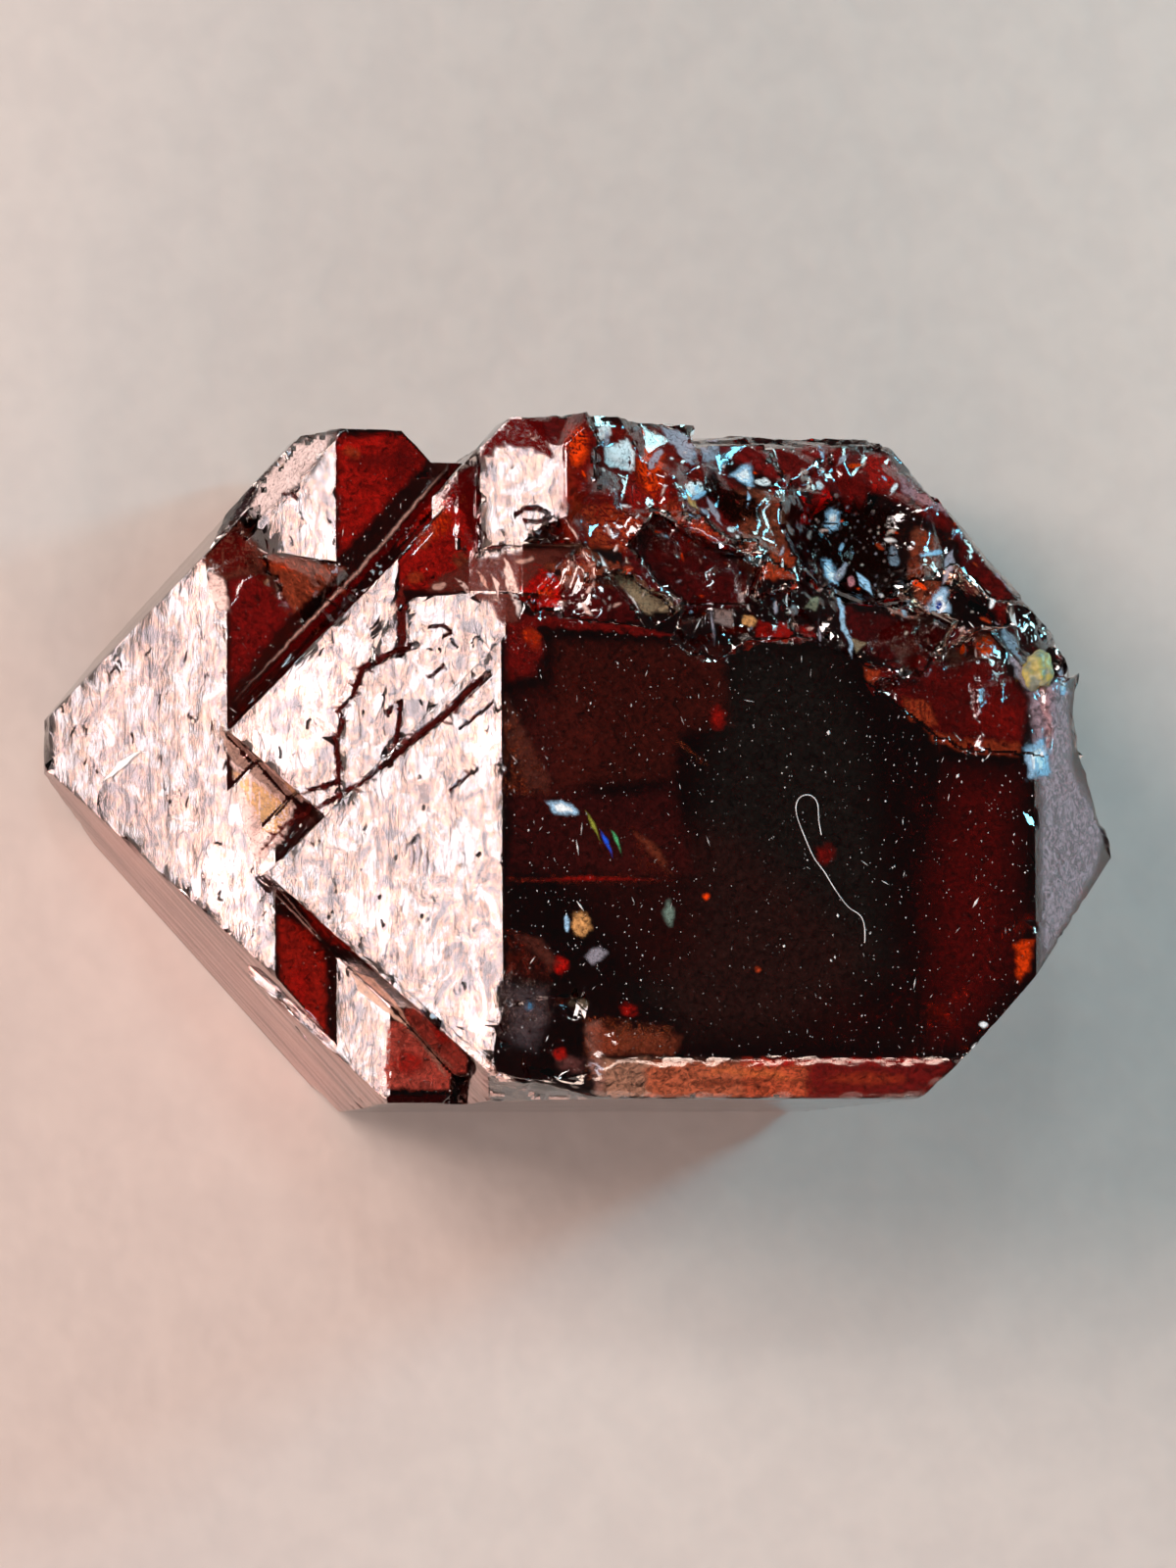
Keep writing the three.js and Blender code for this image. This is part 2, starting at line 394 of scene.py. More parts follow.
def build_crystal():
    """The CAD solid's surface with fine relief, and with masks for its material."""
    cracks = crack_lines() + etch_marks(count=110, seed=5)
    samples = sharp_edge_points()
    rim = KDTree(len(samples))
    for i, sample in enumerate(samples):
        rim.insert(sample, i)
    rim.balance()
    grid = longest_edges(samples, cracks)

    def limit(middle):
        return grid[tuple(((middle - LOW) / CELL).astype(int).T)]

    points, corners, parent = refine(POINTS, CORNERS, np.arange(len(CORNERS)), limit)
    face = FACING[parent]
    growth = near_any(face, [PYRAMID_TOP])
    broken = ~near_any(face, PRISM + BEVELS + PYRAMIDS)
    flank = near_any(face, [PYRAMID_FRONT])
    kinds = np.stack([growth, broken, flank], axis=1).astype(float)
    normal, area = normals_of(points, corners)
    vertex_normal = np.zeros_like(points)
    masks = np.zeros((len(points), 3))
    weight = np.zeros(len(points))
    for k in range(3):
        np.add.at(vertex_normal, corners[:, k], normal * area[:, None])
        np.add.at(masks, corners[:, k], kinds * area[:, None])
        np.add.at(weight, corners[:, k], area)
    masks /= weight[:, None]
    vertex_normal /= np.linalg.norm(vertex_normal, axis=1, keepdims=True)

    out = np.zeros(len(points))
    for i in np.nonzero(points[:, 2] >= RESTING)[0]:
        where = Vector(points[i])
        out[i] = relief(where, masks[i, 0], masks[i, 1], rim.find(where)[2])
    for width, depth, line in cracks:
        low, high = line.min(axis=0) - CRACK_REACH, line.max(axis=0) + CRACK_REACH
        near = np.nonzero(((points > low) & (points < high)).all(axis=1))[0]
        gap = distance_to_line(points[near], line)
        out[near] -= depth * np.exp(-((gap / width) ** 4)) * masks[near, 0]
    points = points + vertex_normal * out[:, None]

    mesh = bpy.data.meshes.new("crystal_skin")
    mesh.from_pydata((points * MM).tolist(), [], corners.tolist())
    mesh.update()
    layers = dict(zip(("growth", "broken", "flank"), masks.T))
    # Masks for the painted highlight spots and for where the broken faces sparkle.
    layers |= {"painted_highlight": brightness_at(points, PAINTED_HIGHLIGHT_SPOTS), "sparkle": brightness_at(points, SPARKLE)}
    for name, values in layers.items():
        layer = mesh.attributes.new(name, "FLOAT", "POINT")
        layer.data.foreach_set("value", values.astype(np.float32))
    mesh.shade_smooth()
    mesh.set_sharp_from_angle(angle=radians(17))
    return new_object("crystal_skin", mesh)


# ---- Materials ----


class Nodes:
    """Short names for making and joining the nodes of a material, lamp or world."""

    def __init__(self, owner):
        owner.use_nodes = True
        self.tree = owner.node_tree
        self.tree.nodes.clear()

    def add(self, kind, values=(), **settings):
        node = self.tree.nodes.new("ShaderNode" + kind)
        for name, value in settings.items():
            setattr(node, name, value)
        for name, value in dict(values).items():
            if isinstance(value, bpy.types.NodeSocket):
                self.tree.links.new(value, node.inputs[name])
            else:
                node.inputs[name].default_value = value
        return node

    def maths(self, operation, *values):
        return self.add("Math", enumerate(values), operation=operation).outputs[0]

    def vector(self, operation, *values):
        return self.add("VectorMath", enumerate(values), operation=operation).outputs[0]

    def scaled(self, vector, amount):
        return self.add("VectorMath", {0: vector, "Scale": amount}, operation="SCALE").outputs[0]

    def mask(self, name):
        return self.add("Attribute", attribute_name=name).outputs["Fac"]

    def noise(self, where, scale, detail, roughness=0.5, distortion=0.0):
        values = {"Vector": where, "Scale": scale, "Detail": detail}
        values |= {"Roughness": roughness, "Distortion": distortion}
        return self.add("TexNoise", values).outputs

    def remap(self, value, low, high, to_low, to_high):
        values = {"Value": value, "From Min": low, "From Max": high, "To Min": to_low, "To Max": to_high}
        return self.add("MapRange", values).outputs[0]

    def ramp(self, value, *stops):
        """A colour ramp through stops of position and colour."""
        node = self.add("ValToRGB", {"Fac": value})
        elements = node.color_ramp.elements
        elements[0].position = stops[0][0]
        elements[1].position = stops[-1][0]
        for position, _ in stops[1:-1]:
            elements.new(position)
        for element, (_, colour) in zip(elements, stops):
            element.color = (*colour, 1)
        return node.outputs["Color"]

    def mix(self, share, first, second):
        return self.add("Mix", {0: share, 6: first, 7: second}, data_type="RGBA").outputs[2]

    def shade(self, values, **more):
        """The material's shader and its output."""
        shader = self.add("BsdfPrincipled", values)
        self.add("OutputMaterial", {"Surface": shader.outputs[0], **more})


def new_material(name):
    """A material, its nodes and its place socket."""
    material = bpy.data.materials.new(name)
    n = Nodes(material)
    return material, n, n.add("TexCoord").outputs["Object"]


def skin_normal(n, where, growth, broken):
    """Waves and strokes on the growth faces, grit and small tilted facets on the broken ones."""
    strokes = n.noise(n.vector("MULTIPLY", where, (2900, 1300, 2900)), 1.6, 4, 0.72, 0.8)["Fac"]
    fine = n.noise(where, 7000, 2, 0.6)["Fac"]
    waves = n.noise(where, 420, 1)["Fac"]
    striae = n.noise(n.vector("MULTIPLY", where, (5200, 500, 500)), 1.0, 2, 0.65)["Fac"]
    height = n.maths("MULTIPLY_ADD", waves, 1.6, n.maths("MULTIPLY", striae, 0.22))
    height = n.maths("MULTIPLY_ADD", strokes, n.maths("MULTIPLY_ADD", growth, 0.50, 0.05), height)
    height = n.maths("MULTIPLY_ADD", fine, n.maths("MULTIPLY_ADD", broken, 0.25, 0.02), height)
    normal = n.add("Bump", {"Strength": 1.0, "Distance": 0.00002, "Height": height}).outputs["Normal"]
    warp = n.noise(where, 1500, 1)["Color"]
    warped = n.vector("MULTIPLY_ADD", warp, (0.0005, 0.0005, 0.0005), where)
    splinters = n.maths("MULTIPLY", broken, n.maths("MULTIPLY_ADD", n.mask("sparkle"), 0.6, 0.4))
    for scale, amount in ((1000, 0.42), (2900, 0.30)):
        cells = n.add("TexVoronoi", {"Vector": warped, "Scale": scale}).outputs["Color"]
        lean = n.vector("SUBTRACT", cells, (0.5, 0.5, 0.5))
        tilt = n.scaled(lean, n.maths("MULTIPLY", splinters, amount))
        normal = n.vector("ADD", normal, tilt)
    return n.vector("NORMALIZE", normal)


def growth_tint(n, where):
    """The growth faces mirror the lamp in slightly coloured patches, with fine darker grooves and
    painted highlights at chosen spots.
    """
    clouds = n.noise(where, 1900, 4, 0.68, 1.2)["Fac"]
    # Patch tints above 1 make the mirrored lamp brighter than the glass alone reflects.
    patch_tint = n.ramp(
        clouds,
        (0.41, (0.60, 0.60, 0.68)),
        (0.46, (0.96, 0.75, 0.74)),
        (0.50, (1.20, 0.89, 0.72)),
        (0.54, (0.82, 0.87, 1.0)),
        (0.60, (1.16, 1.17, 1.26)),
    )
    lines = n.noise(n.vector("MULTIPLY", where, (8000, 3200, 8000)), 1.0, 1, distortion=0.6)["Fac"]
    bright = n.remap(lines, 0.35, 0.45, 0.86, 1.16)
    # Painted highlight: the tint is brightened further at the chosen spots.
    bright = n.maths("MULTIPLY", bright, n.maths("MULTIPLY_ADD", n.mask("painted_highlight"), 0.6, 1.0))
    return n.scaled(patch_tint, bright)


def flank_painted_reflection(n, where):
    """Painted reflection: the front pyramid faces mirror their surroundings tinted pink in thin layers,
    standing in for pink light thrown up from the floor.
    """
    layers = n.noise(n.vector("MULTIPLY", where, (300, 300, 4200)), 1.0, 2)["Fac"]
    pink = n.scaled((3.2, 1.7, 1.5), n.remap(layers, 0.38, 0.62, 0.5, 1.7))
    return n.mix(n.mask("flank"), (1, 1, 1, 1), pink)


def zircon_material():
    """Clear red glass: plain transmission, IOR and absorption."""
    material, n, where = new_material("zircon")
    growth = n.mask("growth")
    broken = n.mask("broken")
    values = {"Base Color": (1, 1, 1, 1), "Transmission Weight": 1.0, "IOR": IOR}
    values["Roughness"] = n.maths("MULTIPLY_ADD", growth, 0.12, 0.02)
    # The specular tint carries painted light: pink painted reflection on the front pyramid faces and
    # painted highlights on the growth faces.
    values["Specular Tint"] = n.mix(growth, flank_painted_reflection(n, where), growth_tint(n, where))
    values["Normal"] = skin_normal(n, where, growth, broken)
    volume = n.add("VolumeAbsorption", {"Color": (0.78, 0.30, 0.0, 1), "Density": 740})
    n.shade(values, Volume=volume.outputs[0])
    return material


def grit_material(name, dark, light, roughness, scale):
    """A rough surface, mottled between two colours."""
    material, n, where = new_material(name)
    patches = n.noise(where, scale, 2, 0.7)["Fac"]
    bump = n.add("Bump", {"Strength": 0.6, "Distance": 0.00004, "Height": patches})
    mottle = n.ramp(patches, (0.38, dark), (0.62, light))
    n.shade({"Base Color": mottle, "Roughness": roughness, "Normal": bump.outputs["Normal"]})
    return material


def film_material(name, scale, cover, roughness, ior, gloss, spread=0.5):
    """A patchy film that takes its colour and its opacity from the mesh."""
    material, n, where = new_material(name)
    tint = n.add("VertexColor", layer_name="tint").outputs
    patches = n.noise(where, scale, 3, 0.7, 1.5)["Fac"]
    patchy = n.remap(patches, cover, cover + 0.3, 0.0, 1.0)
    shades = n.noise(where, scale * 1.7, 3, 0.75)["Fac"]
    colour = n.scaled(tint["Color"], n.remap(shades, 0.3, 0.7, 1 - spread, 1 + spread))
    values = {"Base Color": colour, "Roughness": roughness, "IOR": ior, "Specular IOR Level": gloss}
    n.shade(values | {"Alpha": n.maths("MULTIPLY", patchy, tint["Alpha"])})
    return material


# ---- Stage and light ----


def add_floor():
    bpy.ops.mesh.primitive_plane_add(size=2, location=(0, 0, -0.00001))
    floor = bpy.context.object
    floor.name = "floor"
    paper = grit_material("floor", (0.615, 0.515, 0.46), (0.645, 0.54, 0.48), roughness=0.6, scale=900)
    floor.data.materials.append(paper)


def add_panel(name, place, size, power, colour, mottled=False):
    """A flat lamp that faces the crystal."""
    data = bpy.data.lights.new(name, "AREA")
    data.shape = "RECTANGLE"
    data.size = size[0] * MM
    data.size_y = size[1] * MM
    data.energy = power
    data.color = colour
    if mottled:
        mottle_lamp(data)
    lamp = new_object(name, data)
    lamp.location = Vector(place) * MM
    lamp.rotation_euler = (Vector((0, 0, 5)) - Vector(place)).to_track_quat("-Z", "Y").to_euler()
    lamp.visible_camera = False


def mottle_lamp(data):
    """Gives a lamp warmer and cooler patches."""
    n = Nodes(data)
    patches = n.noise(n.add("NewGeometry").outputs["Parametric"], 9.0, 2)["Fac"]
    colour = n.ramp(patches, (0.38, (0.50, 0.56, 0.70)), (0.62, (1.15, 0.98, 0.88)))
    light = n.add("Emission", {"Color": colour, "Strength": 1.0})
    n.add("OutputLight", {"Surface": light.outputs[0]})


def add_sky():
    """A dim grey room, a little darker overhead."""
    world = bpy.data.worlds.new("room")
    n = Nodes(world)
    direction = n.add("TexCoord").outputs["Generated"]
    height = n.add("SeparateXYZ", {"Vector": direction}).outputs["Z"]
    colour = n.ramp(height, (0.0, (0.15, 0.15, 0.15)), (0.85, (0.07, 0.08, 0.08)))
    light = n.add("Background", {"Color": colour, "Strength": 0.3})
    n.add("OutputWorld", {"Surface": light.outputs[0]})
    bpy.context.scene.world = world


add_floor()
add_sky()
add_panel("left_panel", (-532, 64, 81), (392, 200), 3.28, (1.0, 0.87, 0.78), mottled=True)
add_panel("high_panel", (-80, 40, 115), (60, 44), 0.152, (1.0, 0.845, 0.80))
add_panel("front_left_panel", (-60, -125, 45), (90, 50), 0.092, (0.60, 0.74, 0.90))
add_panel("front_panel", (10, -150, 60), (90, 50), 0.130, (1.0, 0.74, 0.62))
add_panel("back_panel", (-15, 52, 130), (24, 14), 0.020, (0.74, 0.93, 1.0))
add_panel("right_panel", (80, 35, 50), (14, 26), 0.036, (0.18, 0.72, 1.0))
add_panel("back_right_panel", (95, 70, 30), (30, 30), 0.046, (0.50, 0.94, 1.0))
bpy.context.scene.view_settings.view_transform = "Standard"

# ---- The crystal ----


def keep(piece, material):
    """Gives a piece its material and sets it on the crystal's body."""
    piece.data.materials.append(material)
    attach(piece, "root")
    return piece


skin = keep(build_crystal(), zircon_material())
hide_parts("zircon_crystal")
SKIN = BVHTree.FromObject(skin, bpy.context.evaluated_depsgraph_get())

# ---- Films in and on the crystal ----

STEEPEST = 0.22  # cosine of how far a face may turn from the camera and still carry a film
FIRST_LIFT = 0.014  # of the first film over the surface
NEXT_LIFT = 0.0001  # of each film over the one before it
LEAST_DEPTH = 0.03  # of a film under the surface
STEPS = (1.1, 3.0)  # least and most pixels between a film's points
RAGGED = 3.5  # most pixels that an outline wanders
WANDER = 0.13  # how quickly it wanders
FADE = 1.6  # pixels over which a film fades out, unless its row says otherwise
DEEP_FADE = 6.0  # the same under the surface
LONGEST_SIDE = 5  # steps: a longer one would bridge a gap between faces
LAYERS = itertools.count()


def look(x, y, depth=0.0, lift=0.0):
    """The skin's point behind a picture point, above it, or inside along the bent ray, in metres.

    It is None where the skin is too steep.
    """
    ray = ray_through(x, y)
    place, normal, _, _ = SKIN.ray_cast(EYE * MM, ray)
    facing = 0.0 if place is None else -ray.dot(normal)
    if facing < STEEPEST:
        return None
    bent = ray / IOR + normal * (facing / IOR - sqrt(1 - (1 - facing**2) / IOR**2))
    return place + normal * lift * MM + bent * depth * MM


def edge_distance(x, y, outline):
    """How far points lie inside a closed outline. It is negative outside."""
    odd = np.zeros(x.shape, dtype=bool)
    nearest = np.full(x.shape, np.inf)
    for (x1, y1), (x2, y2) in zip(outline, outline[1:] + outline[:1]):
        if y1 != y2:
            odd ^= ((y1 > y) != (y2 > y)) & (x < x1 + (y - y1) * (x2 - x1) / (y2 - y1))
        across, down = x2 - x1, y2 - y1
        share = np.clip(((x - x1) * across + (y - y1) * down) / (across**2 + down**2), 0, 1)
        nearest = np.minimum(nearest, np.hypot(x - x1 - share * across, y - y1 - share * down))
    return np.where(odd, nearest, -nearest)


def thickness(outline):
    """Roughly how thick an outline is: twice its area over its length."""
    x, y = np.array(outline, dtype=float).T
    ahead_x, ahead_y = np.roll(x, -1), np.roll(y, -1)
    return abs(np.sum(x * ahead_y - y * ahead_x)) / np.sum(np.hypot(ahead_x - x, ahead_y - y))


def surface_colour(screen):
    """The colour of a surface that looks like a screen colour in this light."""
    return tuple((level / 255) ** 2.2 / 0.9 for level in screen)


def film(outline, colour, opacity, soft=None, depth=0.0, slope=(0, 0)):
    """A thin film behind an outline of picture points, as lists of points, faces and colours.

    It fades out over soft pixels. It lies on the surface, each a little above the one before it, or
    depth mm under it, which grows by slope mm for each pixel to the right and down.
    """
    outline = points_of(outline)
    colour = surface_colour(colour)
    lift = 0.0 if depth else FIRST_LIFT + NEXT_LIFT * next(LAYERS)
    low = np.min(outline, axis=0)
    span = np.ptp(outline, axis=0)
    step = min(max(thickness(outline) / 5, STEPS[0]), STEPS[1])
    soft = soft or (DEEP_FADE if depth else FADE)
    ragged = min(RAGGED, 0.5 + thickness(outline) * 0.3)
    columns, rows = (int(k) + 7 for k in span / step)
    across = low[0] + (np.arange(columns) - 3) * step
    down = low[1] + (np.arange(rows) - 3) * step
    x, y = np.meshgrid(across, down, indexing="ij")
    near = edge_distance(x, y, outline) > -ragged
    shift = np.zeros((columns, rows, 3))
    for i, j in zip(*np.nonzero(near)):
        shift[i, j] = noise.noise_vector(Vector((x[i, j] * WANDER, y[i, j] * WANDER, depth)))
    inward = edge_distance(x + ragged * shift[..., 0], y + ragged * shift[..., 1], outline)
    alpha = opacity * np.where(near, np.clip(inward / soft, 0, 1), 0)
    points, colours, index = [], [], {}

    def corner(i, j):
        if (i, j) not in index:
            wave = 0.25 * depth * shift[i, j, 2]
            deep = depth + slope[0] * (x[i, j] - low[0]) + slope[1] * (y[i, j] - low[1]) + wave
            place = look(x[i, j], y[i, j], max(deep, LEAST_DEPTH) if depth else 0.0, lift)
            index[i, j] = None if place is None else len(points)
            if place is not None:
                points.append(place)
                colours.append((*colour, alpha[i, j]))
        return index[i, j]

    faces = []
    strongest = np.max([alpha[:-1, :-1], alpha[1:, :-1], alpha[:-1, 1:], alpha[1:, 1:]], axis=0)
    for i, j in zip(*np.nonzero(strongest > 0.01)):
        square = [corner(i, j), corner(i, j + 1), corner(i + 1, j + 1), corner(i + 1, j)]
        if None in square:
            continue
        sides = [(points[a] - points[b]).length for a, b in zip(square, square[1:] + square[:1])]
        if max(sides) < LONGEST_SIDE * step * PIXEL * MM:
            faces.append(square)
    return points, faces, colours


def film_mesh(name, table):
    """Joins the films of a table in one mesh that carries their colours."""
    points, faces, colours = [], [], []
    for row in table:
        new_points, new_faces, new_colours = film(*row)
        faces += [[len(points) + k for k in face] for face in new_faces]
        points += [tuple(p) for p in new_points]
        colours += new_colours
    mesh = bpy.data.meshes.new(name)
    mesh.from_pydata(points, [], faces)
    layer = mesh.color_attributes.new("tint", "FLOAT_COLOR", "POINT")
    layer.data.foreach_set("color", np.array(colours, dtype=np.float32).ravel())
    mesh.shade_smooth()
    return new_object(name, mesh)


def blob(x, y, wide, high, turn=0.0):
    """An oval outline round a picture point, turned by degrees."""
    along, over = cos(radians(turn)), sin(radians(turn))
    angles = [k * pi / 6 for k in range(12)]
    ring = [(cos(angle) * wide / 2, sin(angle) * high / 2) for angle in angles]
    return [(x + a * along - b * over, y + a * over + b * along) for a, b in ring]


def band(line, width):
    """The outline of a ribbon along a line, pointed at both ends."""
    line = points_of(line)
    sides = []
    for (x1, y1), (x2, y2) in zip(line[:-2], line[2:]):
        length = hypot(x2 - x1, y2 - y1) or 1
        sides.append(((y1 - y2) / length * width / 2, (x2 - x1) / length * width / 2))
    there = [(x + a, y + b) for (x, y), (a, b) in zip(line[1:-1], sides)]
    back = [(x - a, y - b) for (x, y), (a, b) in zip(line[1:-1], sides)]
    return [line[0], *there, line[-1], *reversed(back)]


def painted_glint_chip(outline, colour):
    """The two rows of a painted glint: a ragged pale patch with a whiter heart, standing in for a
    reflection on a small facet.
    """
    outline = points_of(outline)
    x, y = np.mean(outline, axis=0)
    heart = [(x + (a - x) * 0.6, y + (b - y) * 0.6) for a, b in outline]
    return [(outline, colour, 0.8, 3), (heart, WHITE, 0.9, 2.5)]


# Screen colours that the films show in this light.
BLACK = (22, 12, 10)
MAROON = (74, 14, 14)
WINE = (102, 18, 15)
BLOOD = (148, 22, 16)
RED = (175, 22, 16)
GLOW = (228, 62, 14)
RUST = (158, 56, 30)
BROWN = (118, 54, 36)
EARTH = (82, 42, 34)
AMBER = (216, 150, 92)
ORANGE = (214, 112, 60)
PINK = (206, 160, 146)
ROSE = (232, 196, 186)
TAN = (148, 130, 104)
SMOKE = (140, 118, 112)
GREY = (165, 155, 164)
PALE = (210, 198, 184)
# Pale blue of the painted glints.
GLINT_BLUE = (164, 200, 226)
WHITE = (246, 246, 244)

# Healed fractures inside the crystal, their red and orange partly painted glow for light carried through
# the red crystal: outline, colour, opacity, soft, depth, slope.
VEILS = [
    ("514,628 548,632 560,662 545,690 516,690", RED, 0.8, None, 0.4),
    ("512,700 535,745 560,790 566,815 512,815", ORANGE, 0.6, None, 0.5, (0.004, 0)),
    ("520,640 560,650 740,655 748,745 690,755 600,800 520,820", ORANGE, 0.15, 20, 3.0),
    ("900,760 1044,780 1050,1000 990,1076 800,1076 900,960", RED, 0.35, 40, 2.5),
    (blob(1000, 915, 30, 46), GLOW, 0.5, 14, 1.5),
    ("514,893 640,890 702,898 640,904 514,902", RUST, 0.7, 4, 0.6, (0, 0.01)),
    ("640,838 656,850 690,900 650,893", ORANGE, 0.6, None, 0.8, (0.01, 0)),
    ("514,944 545,952 570,985 560,1003 514,1000", RUST, 0.7, None, 0.5, (0.006, 0)),
    ("508,990 560,1000 562,1048 506,1062", GREY, 0.55, None, 0.4, (0.008, 0)),
    ("594,1034 690,1046 684,1076 612,1078 600,1117", ORANGE, 0.75, None, 0.35),
    ("680,752 700,758 732,786 712,780", ORANGE, 0.6, 4, 0.5),
    ("880,684 945,664 1020,675 1052,715 1042,768 960,756 920,725", RED, 0.6, 8, 0.9),
]
